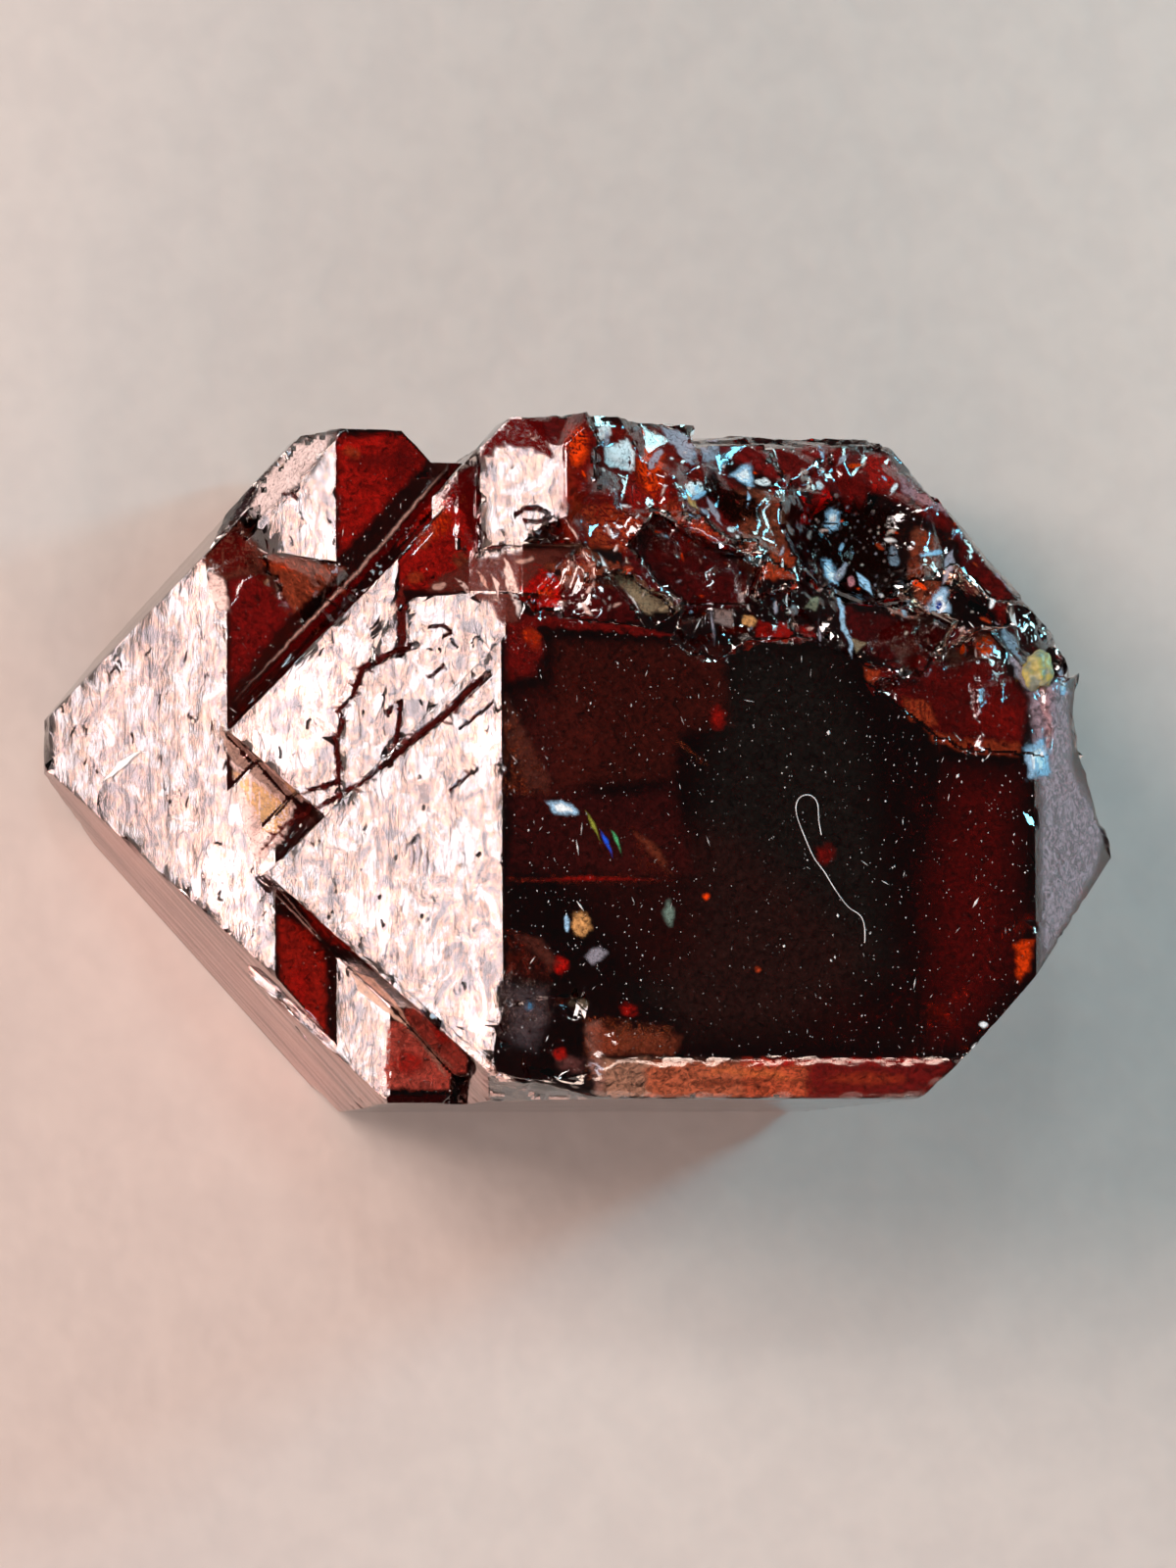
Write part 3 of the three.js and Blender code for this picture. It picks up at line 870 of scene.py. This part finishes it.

# Glassy skins of painted light: painted glow where a shallow fracture lights up, dark painted shade over
# the top face, pink painted reflection low at the front and a few painted glints: outline, colour,
# opacity, soft.
# Later rows lie on top of earlier ones.
GLOWS = [
    ("231,591 266,579 303,623 234,712", (118, 20, 18), 0.8, 8),
    ("262,562 339,574 354,580 300,627", BROWN, 0.9, 3),
    (blob(285, 578, 40, 12, 10), RUST, 0.8, 4),
    ("281,930 322,950 335,985 335,1074 283,1005", (125, 24, 16), 0.85, 6),
    (blob(305, 1010, 30, 60), BLOOD, 0.7, 12),
    ("342,442 415,440 437,470 400,512 344,572", BLOOD, 0.85, 6),
    (blob(385, 470, 70, 22), WINE, 0.8, 8),
    ("342,437 418,437 424,446 344,447", BLACK, 0.7, 3),
    (blob(375, 520, 14, 20), RED, 0.7, 6),
    ("397,1041 440,1045 462,1085 460,1112 385,1112", (146, 62, 52), 0.9),
    (band("404,1046 430,1060 448,1085 458,1108", 9), (150, 105, 90), 0.6, 3),
    (blob(415, 1085, 40, 30), BLOOD, 0.6, 8),
    ("404,560 430,515 462,492 488,500 486,600 410,604", BLOOD, 0.9, 4),
    (blob(450, 532, 26, 46, 20), GLOW, 0.7, 9),
    (blob(432, 552, 18, 20), RUST, 0.9, 4),
    (blob(470, 572, 20, 22), BROWN, 0.9, 4),
    (blob(424, 590, 22, 14), RUST, 0.8, 4),
    (blob(474, 512, 14, 18), RUST, 0.9, 3),
    (blob(358, 462, 22, 16, 20), RUST, 0.7, 5),
    ("400,445 416,442 436,470 402,508 392,500", MAROON, 0.5, 10),
    (band("418,575 440,545 462,500", 8), RUST, 0.8, 3),
    ("454,470 488,474 489,520 470,505", MAROON, 0.9, 3),
    # Pink faces low at the front: painted reflection of pink light from the floor.
    ("472,1080 506,1128 466,1130", PINK, 0.85, 2),
    ("458,1066 480,1064 506,1091 540,1112 608,1121 608,1130 508,1130", (196, 152, 138), 0.85, 2),
    (blob(543, 652, 20, 30, -20), GLOW, 0.8, 7),
    ("514,632 540,630 560,660 548,690 514,700", WINE, 0.6, 8),
    ("608,1079 668,1079 668,1122 608,1122", (158, 112, 90), 0.85, 5),
    ("656,1080 770,1080 770,1122 656,1122", (172, 88, 60), 0.9, 6),
    ("756,1080 836,1080 836,1122 756,1122", (176, 76, 48), 0.9, 6),
    ("826,1086 900,1086 900,1122 826,1122", (132, 40, 26), 0.8, 6),
    ("756,1079 968,1079 960,1088 756,1088", (170, 26, 18), 0.8, 3),
    # Painted shade: a dark film that makes the middle of the top face near black.
    ("740,640 860,650 900,760 930,1000 800,1070 700,1070 610,1010 690,960 700,800", (34, 29, 26), 0.55,
        40),
    ("960,770 1052,780 1050,1000 985,1076 940,1076 930,900", (100, 18, 16), 0.35, 40),
    ("520,700 590,690 640,760 590,830 520,840", (72, 26, 22), 0.5, 30),
    # The frosted right end face: its pale lilac is partly its frost and partly a painted reflection of
    # the floor and lamps.
    ("1046,705 1075,690 1092,700 1095,780 1127,850 1118,890 1060,990 1059,800", (196, 152, 157), 0.7,
        6),
    ("700,438 790,452 905,462 985,530 1004,566 960,540 900,505 800,500 740,468", (124, 24, 22), 0.7,
        6),
    ("560,425 690,436 745,470 716,520 640,560 574,556", (150, 40, 24), 0.55, 10),
    ("560,648 742,654 750,742 700,752 690,800 560,810", (72, 26, 20), 0.45, 12),
    ("560,820 760,830 900,960 880,1070 700,1072 560,900", (66, 26, 22), 0.22, 40),
    ("516,806 640,806 690,796 716,895 640,898 516,894", (74, 24, 22), 0.35, 12),
    (blob(745, 1104, 80, 12, -3), BROWN, 0.6, 4),
    (blob(915, 1110, 70, 14, -3), (92, 48, 44), 0.7, 4),
    ("512,1000 560,1004 566,1040 548,1078 516,1070", (92, 78, 80), 0.45, 14),
    ("596,1040 614,1042 620,1118 604,1118", (150, 104, 92), 0.6, 5),
    (blob(590, 1024, 26, 14, 15), (120, 104, 84), 0.6, 5),
    # A small blue painted glint.
    (blob(540, 1026, 12, 14), (70, 110, 140), 0.8, 4),
    ("560,1070 600,1078 596,1098 570,1094", (110, 66, 62), 0.5, 6),
    (band("700,1098 740,1092 790,1096 826,1104", 12), ORANGE, 0.5, 6),
    ("820,1081 975,1081 950,1118 820,1122", WINE, 0.8, 3),
    (blob(885, 1100, 90, 18), RUST, 0.6, 8),
    ("1034,962 1058,955 1052,990 1036,1005", GLOW, 0.8, 5),
    ("540,424 600,420 600,470 583,479 566,470 548,452", MAROON, 0.9, 3),
    ("596,432 690,436 760,500 750,570 650,560 590,560 584,480", WINE, 0.85, 5),
    ("584,511 640,515 664,540 640,564 600,560", RUST, 0.85, 4),
    ("664,511 700,510 739,545 728,566 700,560", RUST, 0.8, 4),
    ("627,491 690,495 680,523 640,520", BLOOD, 0.9, 4),
    (blob(589, 456, 28, 46), GLOW, 0.95, 7),
    (blob(664, 480, 36, 60), GLOW, 0.95, 9),
    ("747,499 800,500 806,560 790,589 752,580", BROWN, 0.9, 4),
    ("764,564 812,562 812,590 770,593", RUST, 0.95, 3),
    ("631,560 660,525 700,545 762,580 762,621 690,620 640,590", MAROON, 0.85),
    ("530,560 600,560 634,580 627,601 560,598", BROWN, 0.9),
    (blob(581, 571, 42, 15, 5), MAROON, 0.9, 3),
    ("520,576 545,572 572,590 573,627 545,624 530,600", RED, 0.95),
    (blob(558, 602, 22, 16), GLOW, 0.95, 4),
    ("573,596 651,596 655,636 573,634", MAROON, 0.85),
    ("530,626 600,630 660,640 700,652 600,644 530,638", WINE, 0.7),
    ("790,455 868,452 884,499 800,499", WINE, 0.85, 4),
    ("879,462 908,466 918,499 885,502", BLOOD, 0.95, 4),
    ("853,487 886,490 884,522 850,518", WINE, 0.9, 4),
    ("931,536 958,545 963,612 940,622 925,590", BROWN, 0.9, 4),
    (blob(949, 559, 20, 34, -20), RUST, 0.95, 4),
    ("977,554 1000,548 1014,600 985,611", MAROON, 0.9, 3),
    ("930,480 985,530 1030,600 1050,660 1020,640 980,560 930,510", WINE, 0.6, 4),
    (blob(1006, 660, 28, 28), GLOW, 0.9, 7),
    ("770,634 830,638 835,654 770,654", BLOOD, 0.8, 3),
    ("850,615 930,635 1000,640 985,665 900,676 860,655", MAROON, 0.8, 4),
    ("880,684 945,664 1020,675 1052,715 1042,768 960,756 920,725", WINE, 0.55, 6),
    ("1000,700 1048,720 1042,764 990,745", BLOOD, 0.5, 12),
    ("879,680 899,684 899,699 885,697", RUST, 0.8, 3),
    ("916,710 950,716 958,744 928,736", RUST, 0.9, 4),
    ("941,742 985,752 1042,757 1042,771 990,771 950,757", RUST, 0.7, 4),
    (blob(593, 943, 24, 28), AMBER, 0.9, 3),
    (blob(572, 984, 18, 22), RED, 0.9, 4),
    (blob(572, 1075, 18, 16), BLOOD, 0.9, 4),
    (blob(642, 1030, 20, 18), BLOOD, 0.8, 5),
    (blob(721, 915, 10, 10), GLOW, 1.0, 3),
    (blob(773, 989, 10, 9), RUST, 1.0, 3),
    (blob(732, 732, 20, 28), BLOOD, 0.7, 8),
    (blob(842, 872, 24, 26), WINE, 0.9, 8),
    (band("514,700 530,760 550,800 560,815", 30), EARTH, 0.6, 8),
    (band("520,900 600,896 700,899", 7), BLOOD, 0.6, 3),
    (band("640,842 668,868 690,900", 16), BROWN, 0.6, 5),
    (band("516,950 545,962 566,985 550,1000", 20), EARTH, 0.7, 6),
    ("594,1040 620,1046 700,1056 690,1078 606,1078", BROWN, 0.6, 6),
]

# Matt films on the surface, in the same way: stains, crumbs and dark rims, black painted shade on the
# broken corner's darkest facets and hollow, and painted glints in white, pink, grey and ice blue that
# stand in for reflections on small facets.
MARKS = [
    ("222,740 236,752 304,815 296,826 232,772", (172, 138, 124), 0.9),
    ("234,772 300,824 294,850 262,884 252,852", ROSE, 0.95),
    ("233,785 251,790 297,822 288,852 268,852 251,814", (228, 176, 124), 0.9, 4),
    (band("262,878 280,862 298,842", 2.5), WINE, 0.8),
    ("198,569 242,528 266,555 272,588 227,593", EARTH, 0.9, 4),
    ("205,560 240,535 258,556 262,580 227,588", MAROON, 0.7, 5),
    # Painted reflection: a pale patch that makes this face look as bright as the growth faces.
    ("252,524 264,494 296,456 322,443 343,446 300,500 264,532", (206, 186, 182), 0.85, 3),
    ("238,530 256,487 292,444 296,455 268,490 252,526", (38, 26, 28), 0.95),
    ("290,450 300,439 332,435 332,441 305,447", (34, 24, 27), 0.9),
    ("212,580 230,590 236,624 222,622 210,604", ROSE, 0.9, 3),
    # Two ridges, each a dark band with a thin pink painted highlight along it.
    (band("238,723 305,654 372,584 430,518 478,460", 8), MAROON, 0.95),
    (band("232,722 300,650 368,580 424,514 474,456", 4), PINK, 0.7),
    (band("258,886 320,945 380,1000 458,1078", 8), EARTH, 0.8, 2),
    (band("262,894 320,952 360,985", 4), PINK, 0.7),
    ("355,985 400,1030 440,1066 400,1038 365,1010", (196, 160, 140), 0.8),
    ("487,476 498,440 520,424 552,419 566,470 540,458 512,455", MAROON, 0.95),
    ("450,510 470,482 489,472 491,563 486,566 470,520", MAROON, 0.9, 2),
    ("430,604 446,588 484,570 578,552 600,558 560,575 534,600 528,636 512,640 500,618 478,606",
        (92, 46, 40), 0.85, 3),
    # Pink and rose slivers: painted reflections on small growth faces.
    (band("462,588 474,598 482,612", 7), ROSE, 0.9),
    (band("486,578 494,592 500,604", 6), PINK, 0.9),
    (band("500,582 508,596 510,616", 6), ROSE, 0.9),
    (blob(448, 598, 16, 8, -20), PINK, 0.8),
    (blob(536, 572, 22, 7, -15), PINK, 0.7),
    (band("516,566 520,585 527,610 530,632", 12), ROSE, 0.95),
    ("373,1117 462,1117 460,1131 378,1132", (36, 14, 14), 0.95),
    # Over the broken corner: painted glints and sheen in white, grey and ice blue, black painted shade
    # on its darkest facets and in its hollow, and tan, amber and pink patches.
    (blob(614, 441, 18, 16), WHITE, 1.0),
    ("617,455 640,448 649,462 646,480 622,478 615,468", WHITE, 1.0),
    ("598,474 625,480 622,505 600,503", SMOKE, 0.5, 6),
    ("670,434 692,440 712,452 709,476 695,470", GREY, 0.9),
    ("713,452 733,446 731,470 716,472", GREY, 0.8),
    ("706,500 728,478 740,500 770,505 778,530 744,536 724,512", BLACK, 0.9, 4),
    *painted_glint_chip("741,486 766,470 770,500 757,496", GLINT_BLUE),
    (band("762,500 764,508 762,520", 5), GLINT_BLUE, 1.0),
    (blob(708, 498, 17, 15), WHITE, 1.0),
    (band("697,500 704,512 714,523", 8), AMBER, 0.9),
    (band("718,504 727,520 738,540", 9), GREY, 0.8),
    ("731,560 752,544 764,552 764,574 735,572", BLACK, 0.8, 3),
    (band("609,563 617,578 627,594", 5), WHITE, 0.9),
    (band("634,598 645,612 656,630", 4), WHITE, 0.9),
    ("618,580 643,589 675,606 688,622 660,628 645,613", TAN, 0.9),
    ("727,621 749,622 748,640 730,638", SMOKE, 0.8),
    (blob(763, 634, 17, 12), AMBER, 0.85),
    (band("723,614 727,636 729,664", 4), GREY, 0.9),
    (band("834,454 838,462 840,472", 6), GLINT_BLUE, 0.9),
    (band("852,476 858,470 865,462", 7), GREY, 0.9),
    (blob(820, 485, 10, 14), PINK, 0.7),
    (band("794,500 822,500 851,506", 4), PINK, 0.6),
    ("816,512 860,506 915,520 922,590 900,627 860,590 820,575", BLACK, 0.85, 8),
    *painted_glint_chip("841,522 850,517 857,522 855,542 846,544 840,535", GLINT_BLUE),
    (blob(912, 569, 12, 24), (110, 125, 138), 0.85),
    *painted_glint_chip("834,571 846,570 856,586 854,604 846,600", GLINT_BLUE),
    (band("849,598 858,620 860,640 868,658 869,674", 6), GLINT_BLUE, 0.95),
    (band("874,584 882,596 892,611", 12), GLINT_BLUE, 0.95),
    (blob(868, 595, 9, 14), (205, 120, 122), 0.8),
    ("819,622 826,610 837,608 832,624", TAN, 0.9),
    (blob(809, 623, 9, 12), WHITE, 0.8),
    (band("835,630 836,648 837,666", 4), GREY, 0.9),
    ("866,652 886,656 874,668", TAN, 0.8),
    (band("892,612 912,625 932,632 945,630", 5), PINK, 0.6),
    (band("909,471 925,500 950,512 978,532", 16), (165, 122, 126), 0.75, 4),
    (band("972,558 968,575 962,600", 12), GREY, 0.85),
    *painted_glint_chip("945,620 955,602 966,598 970,625 960,639", GLINT_BLUE),
    (blob(957, 618, 8, 14, 20), (20, 50, 120), 1.0),
    (band("990,536 1004,556 1018,585 1034,609", 9), GREY, 0.85),
    (band("1012,630 1030,655 1042,690 1050,706", 14), GREY, 0.8, 3),
    *painted_glint_chip("1044,764 1070,747 1070,792 1048,796", GLINT_BLUE),
    *painted_glint_chip("1078,690 1084,680 1090,690 1086,712 1079,710", GLINT_BLUE),
    # Painted highlights: a pale line along the front edge and a white streak near the left point.
    (band("612,1122 720,1123 850,1122 962,1120", 2.5), PALE, 0.8),
    (band("100,803 125,780 152,762", 8), WHITE, 0.95),
    # On the top face: ice-blue painted glints, grey and green patches, and the rainbow colours of a thin
    # crack.
    (blob(578, 942, 6, 20), GLINT_BLUE, 0.9),
    ("594,975 612,962 622,972 604,988", GREY, 0.6, 4),
    (blob(682, 932, 14, 30), (130, 150, 135), 0.6, 5),
    *painted_glint_chip("556,818 575,816 592,828 588,834 562,830", GLINT_BLUE),
    (band("596,824 604,840 614,862", 6), (150, 150, 60), 0.8, 2),
    (band("612,846 618,858 626,876", 7), (40, 80, 200), 0.9, 2),
    (band("622,844 628,856 634,874", 6), (80, 170, 110), 0.8, 2),
]
# White dots, and upright grey strokes on the cracked face: picture point and size.
DOTS = [
    (1003, 1046, 9), (1012, 1056, 7), (995, 1068, 8), (988, 1078, 6), (1020, 1044, 6),
    (745, 542, 8), (752, 549, 6),
]
UPRIGHTS = [(412, 862, 36), (419, 872, 60), (426, 868, 74), (433, 880, 52), (440, 886, 40)]
# Where the broken corner glints: an outline, the area round it and the area of its hollow.
FRACTURE = points_of(
    "584,430 700,440 780,470 905,465 985,530 1040,620 1052,700 1035,690 950,660 860,650 760,645"
    " 690,630 560,625 530,600 600,560"
)
GLINT_AREA = ((530, 1052), (425, 700))
HOLLOW_AREA = ((820, 916), (512, 612))
GLINT_COLOURS = [PALE, PINK, PINK, GREY, SMOKE, GLINT_BLUE, WHITE, ROSE, RUST, GLOW]
HOLLOW_COLOURS = [SMOKE, GREY, PALE, (90, 80, 84), (70, 60, 62)]
# Where the main pyramid face has grooves.
GROOVE_AREA = ((395, 500), (930, 1075))


def point_in(dice, area):
    return [dice.uniform(low, high) for low, high in area]


def crack_rows(dice):
    """A dark red-brown band along each crack, and crumbs of the same colour beside it."""
    rows = []
    for width, _, line in CRACKS:
        rows.append((band(line, 2.2 * width / PIXEL), (88, 30, 26), 0.9, 1.2))
        line = points_of(line)
        for (x1, y1), (x2, y2) in zip(line[:-1], line[1:]):
            for _ in range(4 if width >= 0.03 else 1):
                t, off = dice.random(), dice.gauss(0, 0.9 * width / PIXEL)
                x, y = x1 + (x2 - x1) * t + off, y1 + (y2 - y1) * t + off
                crumb = blob(x, y, dice.uniform(4, 10), dice.uniform(3, 5), dice.uniform(0, 180))
                rows.append((crumb, (84, 30, 28), 0.85, 1))
    return rows


def glint_rows(dice, bright, dim):
    """Painted glints: bright slivers all over the broken corner, standing in for reflections on small
    facets, and dim ones in its hollow.
    """
    rows = []
    for _ in range(bright):
        x, y = point_in(dice, GLINT_AREA)
        colour = dice.choice(GLINT_COLOURS)
        wide, turn = dice.lognormvariate(log(3.0), 0.45), dice.uniform(0, 180)
        if edge_distance(np.array([x]), np.array([y]), FRACTURE)[0] > 3:
            rows.append((blob(x, y, wide, wide * dice.uniform(1, 3), turn), colour, 0.85))
    for _ in range(dim):
        x, y = point_in(dice, HOLLOW_AREA)
        wide = dice.uniform(2, 4)
        rows.append((blob(x, y, wide, wide * 1.4, 40), dice.choice(HOLLOW_COLOURS), 0.8))
    return rows


def groove_rows(dice, count):
    """Short grey grooves low on the main crystal's pyramid face."""
    rows = []
    for _ in range(count):
        x, y = point_in(dice, GROOVE_AREA)
        if y < 1010 + 0.72 * (x - 395):  # above the face's lower edge
            high = dice.uniform(8, 20)
            line = [(x, y), (x - 1.5, y + high / 2), (x - 1, y + high)]
            rows.append((band(line, 3.5), (92, 92, 112), 0.8))
    return rows


MARKS += [(blob(x, y, wide, wide * 0.8, x * 7), WHITE, 0.9) for x, y, wide in DOTS]
for x, y, high in UPRIGHTS:
    MARKS.append((band([(x, y - high / 2), (x + 2, y), (x, y + high / 2)], 5), GREY, 0.8))
MARKS += crack_rows(Random(4)) + glint_rows(Random(21), bright=430, dim=90)
MARKS += groove_rows(Random(8), count=22)

# Films of painted light: painted glow inside the crystal and in the glassy skins, painted shade over the
# top face, and painted glints among the matt stains.
veil_and_painted_glow = film_material("veil_and_painted_glow", scale=5200, cover=0.34, roughness=0.35, ior=1.5, gloss=0.5)
glow = film_material("glow", scale=5200, cover=0.26, roughness=0.08, ior=IOR, gloss=0.5)
stain_and_painted_glint_film = film_material("stain_and_painted_glint_film", scale=9000, cover=0.22, roughness=0.9, ior=1.5, gloss=0.0, spread=0.25)
keep(film_mesh("inner_veils_and_painted_glow", VEILS), veil_and_painted_glow)
keep(film_mesh("glassy_painted_glow_and_shade", GLOWS), glow)
keep(film_mesh("surface_stains_and_painted_glints", MARKS), stain_and_painted_glint_film)

# ---- Dirt ----

LUMP = [(1, 0, 0), (-1, 0, 0), (0, 1, 0), (0, -1, 0), (0, 0, 1), (0, 0, -1)]
LUMP_SIDES = [(0, 2, 4), (2, 1, 4), (1, 3, 4), (3, 0, 4), (2, 0, 5), (1, 2, 5), (3, 1, 5), (0, 3, 5)]
DUST_SIZE = 0.0078
HAIR_SHARE = 0.05
FIBRE = (
    "838,852 834,836 836,822 830,812 821,810 812,816 811,830 820,852 824,862 828,871 833,880"
    " 840,888 846,898 850,905 858,917 866,927 874,931 880,936 883,948 882,962"
)
GRAIN_AT = (1060, 688)
GRAIN_RADIUS = 0.30


def dust_piece(count, seed):
    """Dust on the upper faces: small lumps and short hairs, in one mesh."""
    dice = Random(seed)
    points, faces = [], []
    for start in scatter(dice, FACING[:, 2] > 0.9, count):
        place, normal, _, _ = SKIN.find_nearest(Vector(start) * MM)
        size = dice.lognormvariate(log(DUST_SIZE), 0.45)
        stretch = dice.uniform(4, 9) if dice.random() < HAIR_SHARE else dice.uniform(0.8, 1.8)
        turn = Matrix.Rotation(dice.gauss(pi / 2, 0.5), 3, "Z")
        first = len(points)
        for x, y, z in LUMP:
            local = Vector((x * size * stretch, y * size, z * size * 0.7))
            points.append(tuple(place + (turn @ local + normal * size * 0.5) * MM))
        faces += [tuple(first + i for i in side) for side in LUMP_SIDES]
    mesh = bpy.data.meshes.new("dust")
    mesh.from_pydata(points, [], faces)
    return new_object("dust", mesh)


def thread(name, line, radius):
    """A thin round thread along a line of points, in metres."""
    curve = bpy.data.curves.new(name, "CURVE")
    curve.dimensions = "3D"
    curve.bevel_depth = radius * MM
    curve.bevel_resolution = 2
    curve.resolution_u = 6
    spline = curve.splines.new("NURBS")
    spline.points.add(len(line) - 1)
    for point, place in zip(spline.points, line):
        point.co = (*place, 1)
    spline.use_endpoint_u = True
    spline.order_u = 4
    path = bpy.data.objects.new(name + "_line", curve)
    mesh = bpy.data.meshes.new_from_object(path)
    bpy.data.objects.remove(path)
    return new_object(name, mesh)


def grain_piece():
    """The small grain lodged at the broken right end."""
    bpy.ops.mesh.primitive_ico_sphere_add(subdivisions=4, radius=1)
    grain = bpy.context.object
    grain.name = "grain"
    for vertex in grain.data.vertices:
        lump = 1 + 0.45 * noise.noise(vertex.co * 1.5) + 0.16 * noise.noise(vertex.co * 4)
        vertex.co = Vector(vertex.co) * lump * GRAIN_RADIUS * MM
        vertex.co.y *= 1.15
    grain.data.shade_smooth()
    grain.data.transform(Matrix.Translation(SKIN.find_nearest(seen(*GRAIN_AT) * MM)[0]))
    return grain


dusty = grit_material("dust", (0.46, 0.43, 0.42), (0.74, 0.71, 0.68), roughness=0.9, scale=1800)
keep(dust_piece(count=2500, seed=11), dusty)
fibre_line = [look(x, y, lift=0.02 + 0.01 * (k % 3)) for k, (x, y) in enumerate(points_of(FIBRE))]
linty = grit_material("lint", (0.42, 0.39, 0.38), (0.78, 0.74, 0.72), roughness=0.8, scale=2600)
keep(thread("lint_fibre", fibre_line, radius=0.009), linty)
yellowish = grit_material("grain", (0.20, 0.23, 0.17), (0.50, 0.40, 0.10), roughness=0.4, scale=3600)
keep(grain_piece(), yellowish)
